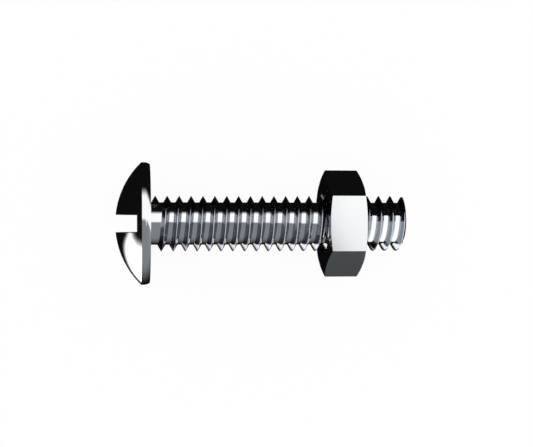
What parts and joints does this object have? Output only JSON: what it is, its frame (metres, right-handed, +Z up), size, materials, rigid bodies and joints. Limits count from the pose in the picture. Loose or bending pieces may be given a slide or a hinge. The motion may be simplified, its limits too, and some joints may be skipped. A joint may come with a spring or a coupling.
{
  "type": "mushroom head bolt",
  "caption": "Mushroom head bolt with a screwdriver slot, a fully threaded shank and a hexagon nut that travels along it.",
  "frame": {"origin": "centre of the flat seat under the head, on the bolt's axis", "axes": "+X along the bolt from the head to the tip, +Z up with one flat of the nut facing up and one facing down, +Y across; the screwdriver slot runs along Z"},
  "size_m": [0.0326, 0.0138, 0.0138],
  "materials": {
    "bolt_steel": "polished",
    "nut_steel": "polished"
  },
  "bodies": {
    "bolt": {"bolt": "bolt_steel"},
    "nut": {"nut": "nut_steel"}
  },
  "joints": [
    {"name": "nut_travel", "type": "slide", "parent": "bolt", "child": "nut", "axis": [1, 0, 0], "range_m": [-0.01971, 0.00908]}
  ]
}
